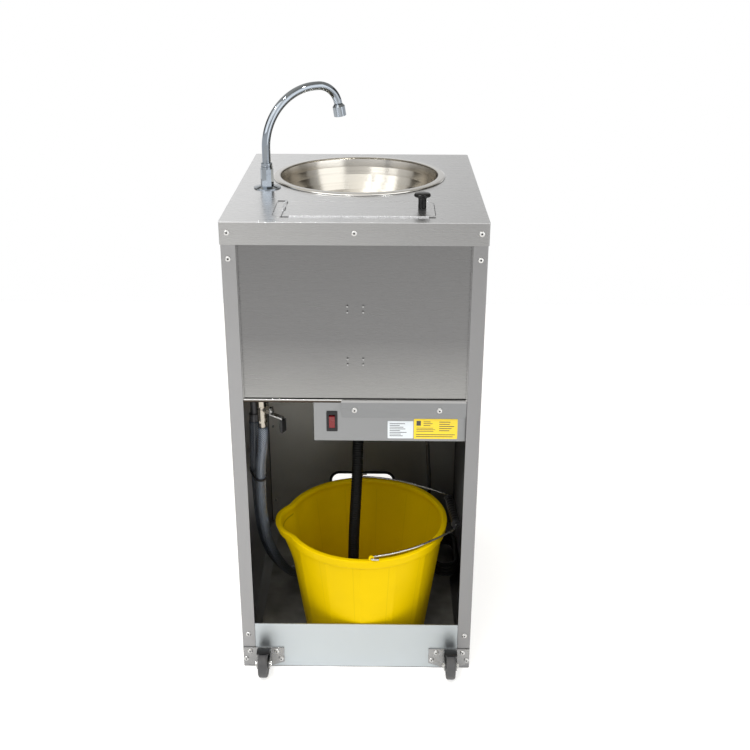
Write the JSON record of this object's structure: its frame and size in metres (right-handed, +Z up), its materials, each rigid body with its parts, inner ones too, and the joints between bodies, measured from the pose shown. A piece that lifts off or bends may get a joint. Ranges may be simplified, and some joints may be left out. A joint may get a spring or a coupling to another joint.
{
  "type": "portable handwash sink",
  "caption": "free-standing folded steel cabinet with a round bowl, swan-neck tap, filler lid, foot pump, tank valve, waste bucket and tilt-and-roll casters",
  "frame": {"origin": "on the floor under the centre of the cabinet, in the plane of the cabinet's flat base", "axes": "+X right seen from the service side (bucket, switch and casters), +Y towards the user's side with the pedal opening, +Z up"},
  "size_m": [0.43, 0.5863, 1.0416],
  "materials": {
    "brushed_sheet": "satin brushed stainless sheet",
    "coated_sheet": "smooth pale film-covered sheet",
    "inner_steel": "mill finish stainless",
    "floor_coating": "dark grey coated sheet",
    "polished_steel": "polished stainless",
    "chrome_plating": "bright chrome plating",
    "nickel_brass": "nickel plated brass",
    "zinc_steel": "bright zinc plated steel",
    "black_rubber": "black rubber",
    "black_plastic": "black moulded plastic",
    "corrugated_hose": "black corrugated plastic",
    "braided_hose": "clear tube over woven braid",
    "red_plastic": "red moulded plastic",
    "white_film": "printed white film",
    "yellow_film": "printed yellow film",
    "ivory_plastic": "ivory moulded plastic",
    "pump_casting": "dark grey painted casting",
    "caster_tyre": "dark grey rubber tread",
    "yellow_plastic": "glossy yellow polyethylene"
  },
  "bodies": {
    "cabinet": {"worktop": "brushed_sheet", "left_side_panel": "brushed_sheet", "right_side_panel": "brushed_sheet", "rear_panel": "brushed_sheet", "pedal_edge_trim": "black_rubber", "floor_panel": "floor_coating", "kick_panel": "coated_sheet", "upper_front_panel": "brushed_sheet", "tank_shelf": "brushed_sheet", "control_box": "brushed_sheet", "control_plate": "coated_sheet", "white_label": "white_film", "yellow_label": "yellow_film", "switch_bezel": "black_plastic", "immersion_heater": "inner_steel", "thermostat": "ivory_plastic", "cable_gland": "black_plastic", "mains_cable": "black_rubber", "cable_hank": "black_rubber", "mains_plug": "black_plastic", "basin": "polished_steel", "basin_gasket": "black_rubber", "waste_strainer": "polished_steel", "waste_tailpiece": "black_plastic", "waste_hose": "corrugated_hose", "waste_hose_clip": "zinc_steel", "tap_base": "chrome_plating", "tap_backnut": "chrome_plating", "tap_feed_pipe": "inner_steel", "lid_hinge_leaf": "brushed_sheet", "lid_hinge_pin": "zinc_steel", "water_tank": "inner_steel", "tank_outlet": "nickel_brass", "valve_body": "nickel_brass", "valve_gland_nut": "nickel_brass", "supply_hose": "braided_hose", "delivery_hose": "braided_hose", "cable_tie": "black_plastic", "pump_body": "pump_casting", "pump_spring": "zinc_steel", "pedal_pin": "zinc_steel", "caster_brackets": "zinc_steel", "caster_guards": "black_plastic", "caster_axles": "zinc_steel", "panel_screws": "zinc_steel"},
    "lid": {"filler_lid": "brushed_sheet", "lid_knob": "black_plastic"},
    "spout": {"tap_spout": "chrome_plating", "tap_aerator": "chrome_plating"},
    "rocker": {"switch_rocker": "red_plastic"},
    "valve_handle": {"valve_lever": "zinc_steel", "lever_grip": "black_plastic"},
    "pedal": {"pump_pedal": "zinc_steel", "pedal_pad": "black_rubber"},
    "piston": {"pump_piston": "zinc_steel"},
    "left_wheel": {"left_caster_wheel": "caster_tyre"},
    "right_wheel": {"right_caster_wheel": "caster_tyre"},
    "bucket": {"bucket": "yellow_plastic"},
    "bail": {"bucket_bail": "zinc_steel", "bail_grip": "black_plastic"}
  },
  "joints": [
    {"name": "lid_hinge", "type": "hinge", "parent": "cabinet", "child": "lid", "pos_m": [-0.118, -0.1625, 0.8671], "axis": [0, -1, 0], "range_deg": [0, 95]},
    {"name": "spout_swivel", "type": "hinge", "parent": "cabinet", "child": "spout", "pos_m": [-0.161, -0.031, 0.9], "axis": [0, 0, 1], "range_deg": [-90, 60]},
    {"name": "switch_tilt", "type": "hinge", "parent": "cabinet", "child": "rocker", "pos_m": [-0.04, -0.2507, 0.513], "axis": [-1, 0, 0], "range_deg": [0, 12]},
    {"name": "valve_turn", "type": "hinge", "parent": "cabinet", "child": "valve_handle", "pos_m": [-0.164, -0.22, 0.519], "axis": [0.9063, -0.4226, 0], "range_deg": [0, 90]},
    {"name": "pedal_hinge", "type": "hinge", "parent": "cabinet", "child": "pedal", "pos_m": [0, 0.112, 0.07], "axis": [-1, 0, 0], "range_deg": [0, 16], "stiffness_Nm_per_rad": 6, "springref_deg": -8.59},
    {"name": "piston_slide", "type": "slide", "parent": "cabinet", "child": "piston", "axis": [0, 0, -1], "range_m": [0, 0.015], "deforming": ["pump_spring"]},
    {"name": "left_wheel_spin", "type": "hinge", "parent": "cabinet", "child": "left_wheel", "pos_m": [-0.172, -0.2937, 0.0284], "axis": [1, 0, 0], "continuous": true},
    {"name": "right_wheel_spin", "type": "hinge", "parent": "cabinet", "child": "right_wheel", "pos_m": [0.176, -0.2937, 0.0284], "axis": [1, 0, 0], "continuous": true},
    {"name": "bucket_lift", "type": "slide", "parent": "cabinet", "child": "bucket", "axis": [0, 0, 1], "range_m": [0, 0.098]},
    {"name": "bail_swing", "type": "hinge", "parent": "bucket", "child": "bail", "pos_m": [0.015, -0.13, 0.255], "axis": [-0.0872, 0.9962, 0], "range_deg": [-75, 0]}
  ],
  "couplings": [
    {"joint": "piston_slide", "follows": "pedal_hinge", "m_per_rad": 0.0535}
  ]
}
